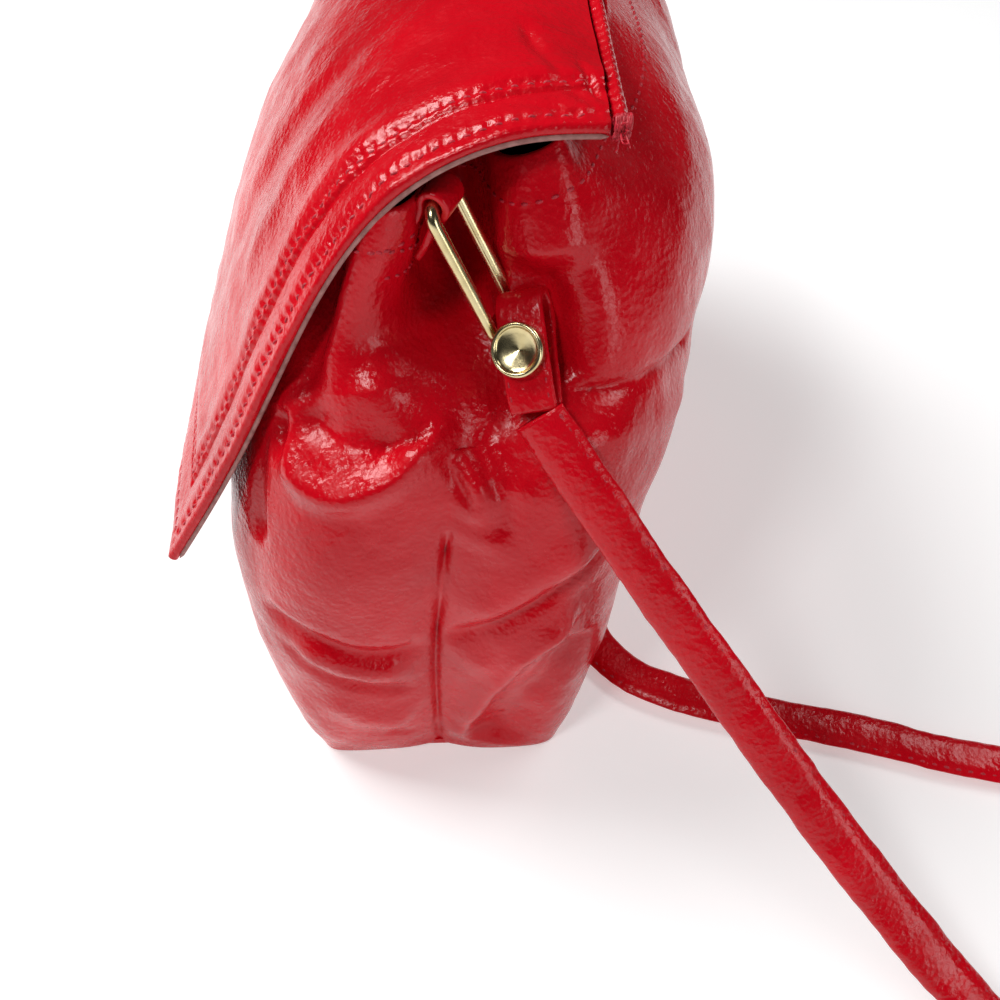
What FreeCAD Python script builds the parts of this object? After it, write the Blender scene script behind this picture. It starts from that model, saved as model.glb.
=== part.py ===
"""Crossbody purse: a soft leather body with a fold-over flap and a narrow shoulder strap.

Millimetres. +X is one end of the bag, -Y the front where the flap hangs, +Z up.
The origin is the middle of the base, on the surface that the bag stands on.
"""
import FreeCAD, Part
import Sketcher
import math
import os
from FreeCAD import Matrix, Placement, Rotation, Vector

doc = FreeCAD.newDocument("crossbody_purse")
sheet = doc.addObject("Spreadsheet::Sheet", "Sizes")
FINISHED = []

# The body's outline at seven heights, from the base to the mouth: how far it reaches to
# each end, to the front and to the back, how deep its ends fold in at the side seam, and
# how square its corners are.
LEVELS = ("base", "heel", "low", "waist", "fold", "neck", "mouth")
OUTLINE = {
    "height": (2, 25, 55, 85, 112, 138, 174),
    "reach": (112, 117, 120, 120, 110, 97, 88),
    "front": (32, 45, 54, 54, 45, 32, 6),
    "back": (32, 43, 52, 60, 66, 66, 41),
    "valley": (-0.5, -2, -2, 0, 10, 24, 26),
    "square": (0.95, 0.88, 0.8, 0.76, 0.72, 0.68, 0.66),
}
SIZES = {
    "panel_thick": 1.4,
    "lining_gap": 1.6,
    "lining_thick": 0.8,
    "facing_depth": 24,
    "facing_thick": 1.4,
    "seam_lean": 0.085,
    "mouth_front_height": 147,
    "mouth_front_depth": 15,
    "base_thick": 2,
    "base_corner": 20,
    "board_thick": 1.6,
    "board_margin": 9,
    "welt_radius": 1.6,
    "welt_length": 184,
    "hinge_depth": 39,
    "hinge_height": 177.3,
    "flap_end": 108,
    "flap_waist": 55,
    "flap_back_half": 92,
    "flap_front_half": 106,
    "flap_low": 76,
    "band_width": 12,
    "flap_leather": 1.2,
    "flap_gap": 0.1,
    "stiffener_thick": 0.6,
    "flap_lining_thick": 0.8,
    "snap_height": 94,
    "snap_radius": 6.5,
    "snap_male_thick": 2.2,
    "snap_female_thick": 2.8,
    "snap_clearance": 0.35,
    "snap_post_radius": 1.8,
    "snap_plate_radius": 5.5,
    "snap_plate_thick": 0.45,
    "plate_set_back": 2.55,
    "wire": 2.8,
    "ring_long": 30.5,
    "ring_wide": 10.8,
    "ring_bend": 2.8,
    "loop_wall": 1.6,
    "loop_slack": 0.35,
    "loop_width": 7,
    "tab_long": 8.5,
    "tab_thick": 3.2,
    "end_left": 4.8,
    "end_right": 7.2,
    "end_top": 11,
    "end_bottom": 11.5,
    "end_thick": 4.4,
    "cap_radius": 5.6,
    "cap_thick": 2.6,
    "cap_rim": 0.7,
    "dish_depth": 1.5,
    "screw_radius": 2.0,
    "screw_head_radius": 4.5,
    "screw_head_thick": 1.3,
    "strap_tube": 6.4,
}


def fill_sheet():
    cells = dict(SIZES)
    for quality, values in OUTLINE.items():
        for level, value in zip(LEVELS, values):
            cells[f"{quality}_{level}"] = value
    for row, (alias, value) in enumerate(cells.items(), start=1):
        sheet.set(f"A{row}", alias)
        sheet.set(f"B{row}", str(value))
        sheet.setAlias(f"B{row}", alias)
    doc.recompute()


def size(alias):
    return float(sheet.get(alias))


# ---------------------------------------------------------------- shared builders

def add_body(name):
    body = doc.addObject("PartDesign::Body", name)
    body.Label = name
    FINISHED.append(body)
    return body


def origin_plane(body, role):
    return next(f for f in body.Origin.OriginFeatures if f.Role == role)


def add_sketch(body, name, role, offset=None):
    sketch = body.newObject("Sketcher::SketchObject", name)
    sketch.AttachmentSupport = [(origin_plane(body, role), "")]
    sketch.MapMode = "FlatFace"
    if offset:
        sketch.AttachmentOffset = offset
    return sketch


def bind(thing, **expressions):
    for prop, expression in expressions.items():
        thing.setExpression(prop, expression)


def add_circle(sketch, radius):
    """A circle at the sketch's origin whose radius follows an expression of the sheet's cells."""
    edge = sketch.addGeometry(Part.Circle(Vector(), Vector(0, 0, 1), 1.0))
    sketch.addConstraint(Sketcher.Constraint("Coincident", edge, 3, -1, 1))
    limit = sketch.addConstraint(Sketcher.Constraint("Radius", edge, 1.0))
    sketch.setExpression(f"Constraints[{limit}]", radius)


def add_rectangle(sketch, left, right, low, high):
    """A rectangle with each side's distance from the sketch origin set by an expression."""
    corners = [Vector(-1, -1, 0), Vector(1, -1, 0), Vector(1, 1, 0), Vector(-1, 1, 0)]
    first = sketch.GeometryCount
    for k in range(4):
        sketch.addGeometry(Part.LineSegment(corners[k], corners[(k + 1) % 4]))
    for k in range(4):
        follow = first + (k + 1) % 4
        sketch.addConstraint(Sketcher.Constraint("Coincident", first + k, 2, follow, 1))
    for k, way in enumerate(("Horizontal", "Vertical", "Horizontal", "Vertical")):
        sketch.addConstraint(Sketcher.Constraint(way, first + k))
    for kind, edge, end, expression, sign in (
        ("DistanceX", first, 1, left, -1),
        ("DistanceX", first, 2, right, 1),
        ("DistanceY", first, 1, low, -1),
        ("DistanceY", first + 2, 1, high, 1),
    ):
        one, other = ((-1, 1), (edge, end)) if sign > 0 else ((edge, end), (-1, 1))
        limit = sketch.addConstraint(Sketcher.Constraint(kind, *one, *other, 1.0))
        sketch.setExpression(f"Constraints[{limit}]", expression)


def add_pad(body, sketch, length, both_ways=False, reverse=False):
    pad = body.newObject("PartDesign::Pad", f"{sketch.Name}_pad")
    pad.Profile = sketch
    pad.setExpression("Length", length)
    pad.Midplane = both_ways
    pad.Reversed = reverse
    body.Tip = pad
    doc.recompute()
    return pad


def add_pocket(body, sketch, length, both_ways=False, reverse=False):
    before = body.Shape.Volume
    pocket = body.newObject("PartDesign::Pocket", f"{sketch.Name}_pocket")
    pocket.Profile = sketch
    pocket.setExpression("Length", length)
    pocket.Midplane = both_ways
    pocket.Reversed = reverse
    body.Tip = pocket
    doc.recompute()
    assert pocket.Shape.Volume < before - 0.01, f"{sketch.Name} cuts nothing"
    return pocket


def add_free_shape(name, shape):
    """An object whose shape comes from Part's own functions."""
    part = doc.addObject("Part::Feature", name)
    part.Label = name
    part.Shape = shape
    return part


def add_sheet_part(name, shape):
    """A sub-part of leather or cloth, too freely curved for sketches."""
    FINISHED.append(add_free_shape(name, shape))


def frame_at(origin, across, up):
    """A placement with local X along across, local Y along up and local Z out of both."""
    x = Vector(across).normalize()
    z = x.cross(Vector(up)).normalize()
    y = z.cross(x)
    return Placement(Matrix(
        x.x, y.x, z.x, origin.x,
        x.y, y.y, z.y, origin.y,
        x.z, y.z, z.z, origin.z,
        0, 0, 0, 1,
    ))


# ---------------------------------------------------------------- the soft body

def level_at(height):
    """The outline's values at a height, in line between the levels of the sheet."""
    heights = [size(f"height_{level}") for level in LEVELS]
    above = next((k for k, high in enumerate(heights) if high >= height), len(heights) - 1)
    above = max(above, 1)
    share = (height - heights[above - 1]) / (heights[above] - heights[above - 1])
    values = {}
    for quality in ("reach", "front", "back", "valley", "square"):
        low = size(f"{quality}_{LEVELS[above - 1]}")
        high = size(f"{quality}_{LEVELS[above]}")
        values[quality] = low + share * (high - low)
    return values


def half_outline(height, inset):
    """The +X half of the body at a height: two lobes with the seam between at the end."""
    level = level_at(height)
    reach = level["reach"] - inset
    front = level["front"] - inset
    back = level["back"] - inset
    seam = size("seam_lean") * height
    front_lobe = seam - 0.5 * (front + seam)
    back_lobe = seam + 0.5 * (back - seam)
    points = [
        (0, -front),
        (0.5 * reach, -0.97 * front),
        (0.9 * reach, -level["square"] * front),
        (reach, front_lobe),
        (reach - level["valley"], seam),
        (reach, back_lobe),
        (0.9 * reach, level["square"] * back),
        (0.5 * reach, 0.97 * back),
        (0, back),
    ]
    places = [Vector(x, y, height) for x, y in points]
    curve = Part.BSplineCurve()
    curve.interpolate(places, InitialTangent=Vector(1, 0, 0), FinalTangent=Vector(-1, 0, 0))
    return Part.Wire([curve.toShape(), Part.LineSegment(places[-1], places[0]).toShape()])


def bag_solid(inset, low, high):
    """The body's outer form, drawn in by an inset, between two heights."""
    middle = [size(f"height_{level}") for level in LEVELS]
    heights = [low, *(z for z in middle if low + 6 < z < high - 6), high]
    half = Part.makeLoft([half_outline(z, inset) for z in heights], True, False)
    return half.fuse(half.mirror(Vector(), Vector(1, 0, 0))).removeSplitter()


def mouth_block():
    """Everything above the mouth, which slopes down from the back to the front."""
    back = size("back_mouth")
    top = size("height_mouth")
    slope = (top - size("mouth_front_height")) / (back + size("mouth_front_depth"))
    far = 200.0
    profile = [
        Vector(-far, -far, top + slope * (-far - back)),
        Vector(-far, far, top + slope * (far - back)),
        Vector(-far, far, 2 * far),
        Vector(-far, -far, 2 * far),
    ]
    return Part.Face(Part.makePolygon([*profile, profile[0]])).extrude(Vector(2 * far, 0, 0))


def seam_block(side):
    """The half of space on one side of the end seams, which lean back as they rise."""
    far = 300.0
    lean = size("seam_lean")
    profile = [
        Vector(-far, -lean * far, -far),
        Vector(-far, side * far, -far),
        Vector(-far, side * far, far),
        Vector(-far, lean * far, far),
    ]
    return Part.Face(Part.makePolygon([*profile, profile[0]])).extrude(Vector(2 * far, 0, 0))


def half_shell(outer_inset, inner_inset, low, side):
    """One side's wall: the space between two insets, open above, cut at the end seams."""
    high = size("height_mouth")
    wall = bag_solid(outer_inset, low, high).cut(bag_solid(inner_inset, low, high))
    return wall.cut(mouth_block()).cut(seam_block(-side))


def snap_frame(offset):
    """A frame on the flap's lower middle, offset inwards, with local Z towards the bag."""
    top, bottom = (Vector(*point) for point in flap_straight())
    share = (top.z - size("snap_height")) / (top.z - bottom.z)
    point = top + (bottom - top) * share
    down = (bottom - top).normalize()
    inward = Vector(1, 0, 0).cross(down)
    return frame_at(point + inward * offset, Vector(1, 0, 0), down)


def snap_hole(radius, start, length):
    """A round cutter on the snap's axis."""
    hole = Part.makeCylinder(radius, length)
    hole.Placement = snap_frame(start)
    return hole


def slice_block(low, high):
    """All of space between two heights."""
    far = 400.0
    return Part.makeBox(far, far, high - low, Vector(-far / 2, -far / 2, low))


def make_shell():
    leather = size("panel_thick")
    bottom = size("base_thick") + 0.05
    top = size("height_mouth")
    lining_out = leather + size("lining_gap")
    lining_in = lining_out + size("lining_thick")
    facing_low = size("mouth_front_height") - size("facing_depth")
    hole = snap_hole(size("snap_post_radius") + 0.15, 2, 14)
    add_sheet_part("front_panel", half_shell(0, leather, bottom, -1).cut(hole))
    add_sheet_part("back_panel", half_shell(0, leather, bottom, 1))
    facing_out = lining_in - size("facing_thick")
    facing_zone = slice_block(facing_low, top + 10)
    for name, side in (("front_facing", -1), ("back_facing", 1)):
        add_sheet_part(name, half_shell(facing_out, lining_in, bottom, side).common(facing_zone))
    floor = bottom + size("board_thick") + 0.3
    skin = bag_solid(lining_out, bottom, top).common(slice_block(floor, facing_low - 0.3))
    hollow = bag_solid(lining_in, bottom, top)
    hollow = hollow.common(slice_block(floor + size("lining_thick"), top))
    add_sheet_part("lining", skin.cut(hollow))


def make_base():
    reach = "Sizes.reach_base - 1.5"
    deep = "Sizes.front_base - 1"
    for name, margin, start, thick in (
        ("base_panel", "0", "0", "Sizes.base_thick"),
        ("base_board", "Sizes.board_margin", "Sizes.base_thick + 0.1", "Sizes.board_thick"),
    ):
        body = add_body(name)
        sketch = add_sketch(body, f"{name}_outline", "XY_Plane")
        across, along = f"{deep} - {margin}", f"{reach} - {margin}"
        add_rectangle(sketch, along, along, across, across)
        pad = add_pad(body, sketch, thick)
        edges = [
            f"Edge{k}" for k, edge in enumerate(pad.Shape.Edges, start=1)
            if abs(edge.tangentAt(edge.FirstParameter).z) > 0.99
        ]
        fillet = body.newObject("PartDesign::Fillet", f"{name}_corners")
        fillet.Base = (pad, edges)
        fillet.setExpression("Radius", f"Sizes.base_corner - 0.3 * {margin}")
        body.Tip = fillet
        body.setExpression("Placement.Base.z", start)
        doc.recompute()


# ---------------------------------------------------------------- the flap

def flap_middle():
    """The flap's outer surface halfway along the bag, from the hinge to the lower edge."""
    return [(36.9, 178.4), (24, 181.3), (6, 179), (-12, 170), (-30, 153.5), (-45.5, 131)]


def flap_straight():
    """The flat lower run that carries the snap."""
    return (0, -57, 105), (0, -67, size("flap_low"))


def flap_side():
    """The same at the ends, where the flap lies over the folded gusset."""
    return [
        (36.9, 178.4), (22, 178), (6, 173), (-6, 164), (-17, 149.5), (-28, 130),
        (-42.5, 105), (-62, size("flap_low")),
    ]


def flap_profile(share, x, outer, inner):
    """A closed slice of a layer of the flap at x. A share of 0 is the middle, 1 the end."""
    middle = [*flap_middle(), *(point[1:] for point in flap_straight())]
    line = [
        Vector(x, *(a + share * (b - a) for a, b in zip(one, other)))
        for one, other in zip(middle, flap_side())
    ]
    spline = Part.BSplineCurve()
    spline.interpolate(line)
    edges = []
    for depth in (outer, inner):
        moved = []
        for point in line:
            way = spline.tangent(spline.parameter(point))[0]
            moved.append(point + Vector(1, 0, 0).cross(way) * depth)
        curve = Part.BSplineCurve()
        curve.interpolate(moved)
        edges.append((curve.toShape(), moved))
    (first, a), (second, b) = edges
    joins = [Part.LineSegment(a[-1], b[-1]).toShape(), Part.LineSegment(b[0], a[0]).toShape()]
    return Part.Wire([first, joins[0], second, joins[1]])


def flap_layer(outer, inner):
    end, waist = size("flap_end"), size("flap_waist")
    places = ((1, -end), (0.25, -waist), (0, 0), (0.25, waist), (1, end))
    return Part.makeLoft([flap_profile(s, x, outer, inner) for s, x in places], True, False)


def flap_prism(margin, low):
    """The flap's plan: wider at the front than at the back seam."""
    back, front = size("flap_back_half") - margin, size("flap_front_half") - margin
    near, far = size("hinge_depth") + 5, -80.0
    corners = [Vector(-back, near, low), Vector(back, near, low)]
    corners += [Vector(front, far, low), Vector(-front, far, low)]
    return Part.Face(Part.makePolygon([*corners, corners[0]])).extrude(Vector(0, 0, 150))


def make_flap():
    leather = size("flap_leather")
    gap = size("flap_gap")
    stiff_out = leather + gap
    stiff_in = stiff_out + size("stiffener_thick")
    lining_out = stiff_in + gap
    lining_in = lining_out + size("flap_lining_thick")
    band = size("band_width")
    low = size("flap_low") - 5
    whole = flap_prism(0, low)
    middle = flap_prism(band, size("flap_low") + band)
    outer = flap_layer(0, leather).common(whole)
    add_sheet_part("flap_panel", outer.common(middle))
    add_sheet_part("flap_border", outer.cut(middle))
    plate = snap_hole(size("snap_plate_radius") + 0.5, 0, 5)
    core = flap_layer(stiff_out, stiff_in).common(flap_prism(3, size("flap_low") + 3))
    add_sheet_part("flap_stiffener", core.cut(plate))
    post = snap_hole(size("snap_post_radius") + 0.15, 0, 5)
    add_sheet_part("flap_lining", flap_layer(lining_out, lining_in).common(whole).cut(post))
    return lining_out, lining_in


def make_welt():
    """The piped seam that joins the flap to the back panel."""
    body = add_body("back_seam_welt")
    sketch = add_sketch(body, "welt_section", "YZ_Plane")
    add_circle(sketch, "Sizes.welt_radius")
    add_pad(body, sketch, "Sizes.welt_length", both_ways=True)
    body.setExpression("Placement.Base.y", "Sizes.hinge_depth")
    body.setExpression("Placement.Base.z", "Sizes.hinge_height")


# ---------------------------------------------------------------- the snap

def make_disc(name, radius, thick, placement, post=None, hole=None):
    """A round snap piece: a disc with a post behind it, or with a hole through it."""
    body = add_body(name)
    sketch = add_sketch(body, f"{name}_disc", "XY_Plane")
    add_circle(sketch, radius)
    if hole:
        add_circle(sketch, hole)
    add_pad(body, sketch, thick)
    if post:
        stalk = add_sketch(body, f"{name}_post", "XY_Plane")
        add_circle(stalk, "Sizes.snap_post_radius")
        length, reverse = post
        add_pad(body, stalk, length, reverse=reverse)
    body.Placement = placement
    doc.recompute()
    return body


def make_snap(lining_out, lining_in):
    male_start = lining_in + 0.05
    female_start = male_start + size("snap_male_thick") + size("snap_clearance")
    female_end = female_start + size("snap_female_thick")
    reach_back = f"{male_start - lining_out + 0.1}"
    bore = "Sizes.snap_post_radius + 0.1"
    make_disc("snap_stud", "Sizes.snap_radius", "Sizes.snap_male_thick",
              snap_frame(male_start), post=(reach_back, True))
    make_disc("snap_stud_plate", "Sizes.snap_plate_radius", "Sizes.snap_plate_thick",
              snap_frame(size("flap_leather") + 0.15))
    make_disc("snap_socket", "Sizes.snap_radius", "Sizes.snap_female_thick",
              snap_frame(female_start), post=("Sizes.snap_female_thick + 3", False))
    make_disc("snap_socket_plate", "Sizes.snap_plate_radius", "Sizes.snap_plate_thick",
              snap_frame(female_end + size("plate_set_back")), hole=bore)


# ---------------------------------------------------------------- rings, ends and studs

# Directions at the +X end; the other end is the mirror image.
# The stud faces out of the gusset; the strap end hangs down from it.
STUD_AT = Vector(104, 21, 136)
STUD_FACES = Vector(0.714, -0.422, 0.559)
END_RUNS = Vector(0.630, 0.130, -0.765)
RING_TOP = Vector(92, 5.8, 163)
RING_RUNS = Vector(0.10, 0.41, -0.905)
RING_ACROSS = Vector(0.921, -0.384, -0.073)
TAB_RUNS = Vector(-0.20, -0.45, -0.87)


def mirrored(vector, side):
    return Vector(side * vector.x, vector.y, vector.z)


def ring_frame(side):
    """Local X along the ring's cross bars, local Y up the ring, origin at its top bar."""
    return frame_at(mirrored(RING_TOP, side), mirrored(RING_ACROSS, side),
                    mirrored(RING_RUNS, side) * -1)


def end_frame(side):
    """Local Z out of the stud, local Y up the strap end, origin under the stud's cap."""
    out = mirrored(STUD_FACES, side)
    up = mirrored(END_RUNS, side) * -1
    return frame_at(mirrored(STUD_AT, side), up.cross(out), up)


def ring_solid(wire_radius, side):
    """A long link ring of round wire: straight sides, rounded corners."""
    half_wide = size("ring_wide") / 2
    long = size("ring_long")
    corners = [Vector(half_wide, 0, 0), Vector(-half_wide, 0, 0)]
    corners += [Vector(-half_wide, -long, 0), Vector(half_wide, -long, 0)]
    path = rounded_path(corners, [size("ring_bend")] * 4, closed=True)
    start = path.Edges[0]
    at = start.valueAt(start.FirstParameter)
    way = start.tangentAt(start.FirstParameter)
    section = Part.Wire(Part.makeCircle(wire_radius, at, way))
    ring = path.makePipeShell([section], True, True)
    ring.Placement = ring_frame(side)
    return ring


def rounded_path(points, radii, closed=False):
    """Straight runs joined by tangent arcs of the given radii."""
    count = len(points)
    edges = []
    ends = [] if closed else [points[0]]
    corners = range(count) if closed else range(1, count - 1)
    for k in corners:
        before = (points[k - 1] - points[k]).normalize()
        after = (points[(k + 1) % count] - points[k]).normalize()
        half_turn = (math.pi - before.getAngle(after)) / 2
        radius = radii[k] if closed else radii[k - 1]
        reach = radius * math.tan(half_turn)
        start, finish = points[k] + before * reach, points[k] + after * reach
        inward = (before + after).normalize()
        middle = points[k] + inward * (radius / math.cos(half_turn) - radius)
        if ends:
            edges.append(Part.LineSegment(ends[-1], start).toShape())
        edges.append(Part.Arc(start, middle, finish).toShape())
        ends.append(start if closed and not ends else finish)
        ends.append(finish)
    last = ends[0] if closed else points[-1]
    edges.append(Part.LineSegment(ends[-1], last).toShape())
    return Part.Wire(edges)


def make_tab(name, side):
    """The leather tab: a loop round the ring's top bar and a tail sewn to the gusset."""
    body = add_body(name)
    outer = "Sizes.wire / 2 + Sizes.loop_slack + Sizes.loop_wall"
    loop = add_sketch(body, f"{name}_loop", "YZ_Plane")
    add_circle(loop, outer)
    add_pad(body, loop, "Sizes.loop_width", both_ways=True)
    tail = add_sketch(body, f"{name}_tail", "YZ_Plane")
    add_rectangle(tail, "0", "Sizes.tab_long", "Sizes.tab_thick / 2", "Sizes.tab_thick / 2")
    add_pad(body, tail, "Sizes.loop_width", both_ways=True)
    bore = add_sketch(body, f"{name}_bore", "YZ_Plane")
    add_circle(bore, "Sizes.wire / 2 + Sizes.loop_slack")
    add_pocket(body, bore, "Sizes.loop_width + 2", both_ways=True)
    body.Placement = frame_at(mirrored(RING_TOP, side), mirrored(RING_ACROSS, side),
                              mirrored(TAB_RUNS, side))
    doc.recompute()


def add_block(name, start, sides, placement):
    """A Part::Box whose sides follow the sheet; start is its low corner in the placement."""
    block = doc.addObject("Part::Box", name)
    bind(block, Length=sides[0], Width=sides[1], Height=sides[2])
    block.Placement = placement.multiply(Placement(start, Rotation()))
    return block


def make_strap_end(name, side):
    """The folded strap end: two layers under the stud and a loop round the ring's lower bar."""
    frame = end_frame(side)
    left = "left" if side > 0 else "right"
    corner = Vector(-size(f"end_{left}"), -size("end_bottom"), -size("end_thick"))
    sides = (
        "Sizes.end_left + Sizes.end_right",
        "Sizes.end_bottom + Sizes.end_top",
        "Sizes.end_thick",
    )
    slab = add_block(f"{name}_slab", corner, sides, frame)
    ring = ring_frame(side)
    low_bar = ring.multVec(Vector(0, -size("ring_long"), 0))
    along_bar = ring.Rotation.multVec(Vector(1, 0, 0))
    half_loop = size("loop_width") / 2
    loop = doc.addObject("Part::Cylinder", f"{name}_loop")
    bind(loop, Radius="Sizes.wire / 2 + Sizes.loop_slack + Sizes.loop_wall",
         Height="Sizes.loop_width")
    loop.Placement = Placement(
        low_bar - along_bar * half_loop, Rotation(Vector(0, 0, 1), along_bar)
    )
    whole = doc.addObject("Part::Fuse", f"{name}_whole")
    whole.Base, whole.Tool = slab, loop
    shank = doc.addObject("Part::Cylinder", f"{name}_stud_hole")
    bind(shank, Radius="Sizes.screw_radius + 0.1", Height="Sizes.end_thick + 4")
    shank.Placement = frame.multiply(Placement(Vector(0, 0, -size("end_thick") - 2), Rotation()))
    head = doc.addObject("Part::Cylinder", f"{name}_head_seat")
    bind(head, Radius="Sizes.screw_head_radius + 0.2", Height="6")
    head.Placement = frame.multiply(Placement(Vector(0, 0, -size("end_thick") - 6), Rotation()))
    room = add_free_shape(f"{name}_ring_room", ring_solid(
        size("wire") / 2 + size("loop_slack"), side
    ))
    drilled = whole
    for k, tool in enumerate((shank, head, room)):
        cut = doc.addObject("Part::Cut", name if tool is room else f"{name}_cut_{k}")
        cut.Base, cut.Tool = drilled, tool
        drilled = cut
    doc.recompute()
    drilled.Label = name
    FINISHED.append(drilled)


def make_stud(side, suffix):
    """The two-part stud: a dished cap in front, its screw and head behind."""
    frame = end_frame(side)
    cap = add_body(f"stud_cap_{suffix}")
    disc = add_sketch(cap, f"cap_disc_{suffix}", "XY_Plane")
    add_circle(disc, "Sizes.cap_radius")
    pad = add_pad(cap, disc, "Sizes.cap_thick")
    cone = add_sketch(cap, f"cap_dish_{suffix}", "XZ_Plane")
    corners = [Vector(0, 1, 0), Vector(0, 2, 0), Vector(4, 2, 0)]
    for k in range(3):
        cone.addGeometry(Part.LineSegment(corners[k], corners[(k + 1) % 3]))
    for k in range(3):
        cone.addConstraint(Sketcher.Constraint("Coincident", k, 2, (k + 1) % 3, 1))
    cone.addConstraint(Sketcher.Constraint("PointOnObject", 0, 1, -2))
    cone.addConstraint(Sketcher.Constraint("Vertical", 0))
    cone.addConstraint(Sketcher.Constraint("Horizontal", 1))
    for kind, edge, end, expression in (
        ("DistanceY", 0, 1, "Sizes.cap_thick - Sizes.dish_depth"),
        ("DistanceY", 0, 2, "Sizes.cap_thick"),
        ("DistanceX", 1, 2, "Sizes.cap_radius - Sizes.cap_rim"),
    ):
        limit = cone.addConstraint(Sketcher.Constraint(kind, -1, 1, edge, end, 1.0))
        cone.setExpression(f"Constraints[{limit}]", expression)
    doc.recompute()
    before = pad.Shape.Volume
    groove = cap.newObject("PartDesign::Groove", f"cap_groove_{suffix}")
    groove.Profile = cone
    groove.ReferenceAxis = (cone, ["V_Axis"])
    groove.Angle = 360
    cap.Tip = groove
    doc.recompute()
    assert groove.Shape.Volume < before - 1, "the cap's dish cuts nothing"
    cap.Placement = frame.multiply(Placement(Vector(0, 0, 0.05), Rotation()))
    screw = add_body(f"stud_screw_{suffix}")
    shank = add_sketch(screw, f"shank_{suffix}", "XY_Plane")
    add_circle(shank, "Sizes.screw_radius")
    add_pad(screw, shank, "Sizes.end_thick + 0.1", reverse=True)
    head = add_sketch(screw, f"head_{suffix}", "XY_Plane",
                      Placement(Vector(0, 0, -size("end_thick") - 0.05), Rotation()))
    head.setExpression("AttachmentOffset.Base.z", "-Sizes.end_thick - 0.05")
    add_circle(head, "Sizes.screw_head_radius")
    add_pad(screw, head, "Sizes.screw_head_thick", reverse=True)
    screw.Placement = frame
    doc.recompute()


# ---------------------------------------------------------------- the shoulder strap

# The strap's route from the +X strap end, down to the floor, round in one wide turn,
# back along the bag's back and up to the -X strap end. It is one strap in two solids,
# which meet halfway along the run that follows STRAP_TURN.
STRAP_ROUTE = [
    (112.0, 24.6, 125.2), (186.5, 118.5, 3.4), (230, 170, 3.4), (247, 220, 3.4),
    (232, 264, 3.4), (188, 284, 3.4), (146, 264, 3.4), (128, 214, 3.4),
    (124, 153, 3.4), (112, 120, 3.4), (106, 95, 3.4), (99, 71, 3.4),
    (89, 52, 3.4), (72, 43, 3.4), (46, 41, 3.4), (12, 46, 3.4), (-34, 60, 3.4),
    (-84, 74, 3.4), (-122, 76, 3.4), (-145, 63, 4), (-155, 45, 24), (-151, 33, 58),
    (-136, 26.6, 94), (-112.0, 24.6, 125.2),
]
STRAP_TURN = 7


def make_strap():
    points = [Vector(*point) for point in STRAP_ROUTE]
    runs = [(b - a).Length for a, b in zip(points, points[1:])]
    turns = [
        (b - a).getAngle(c - b) for a, b, c in zip(points, points[1:], points[2:])
    ]
    radii = [
        0.45 * min(one, other) / math.tan(turn / 2)
        for one, other, turn in zip(runs, runs[1:], turns)
    ]
    halfway = (points[STRAP_TURN] + points[STRAP_TURN + 1]) / 2
    radius = size("strap_tube") / 2
    for name, route, bends in (
        ("strap_near", [*points[:STRAP_TURN + 1], halfway], radii[:STRAP_TURN]),
        ("strap_rear", [halfway, *points[STRAP_TURN + 1:]], radii[STRAP_TURN:]),
    ):
        path = rounded_path(route, bends)
        section = Part.Wire(Part.makeCircle(radius, route[0], route[1] - route[0]))
        tube = path.makePipeShell([section], True, True)
        share = tube.Volume / (math.pi * radius ** 2 * path.Length)
        print(f"{name}: {path.Length:.0f} mm long, volume share {share:.3f}")
        print(f"  radii {[round(bend) for bend in bends]}")
        add_sheet_part(name, tube)
    print(f"sharpest turn {math.degrees(max(turns)):.0f} degrees, runs {[round(r) for r in runs]}")


# ---------------------------------------------------------------- build and write

def check_and_write():
    doc.recompute()
    for thing in doc.Objects:
        broken = {"Invalid", "Error"} & set(thing.State)
        assert not broken, f"{thing.Name} failed"
    os.makedirs("parts", exist_ok=True)
    for part in FINISHED:
        shape = part.Shape
        assert not shape.isNull() and shape.isValid(), f"{part.Label} has no valid shape"
        shape.exportStep(f"parts/{part.Label}.step")
    print(f"{len(FINISHED)} sub-parts written")


def main():
    fill_sheet()
    make_base()
    make_shell()
    layers = make_flap()
    make_welt()
    make_snap(*layers)
    for side, suffix in ((1, "right"), (-1, "left")):
        ring = ring_solid(size("wire") / 2, side)
        FINISHED.append(add_free_shape(f"strap_ring_{suffix}", ring))
        make_tab(f"ring_tab_{suffix}", side)
        make_strap_end(f"strap_end_{suffix}", side)
        make_stud(side, suffix)
    make_strap()
    check_and_write()


main()
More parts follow.
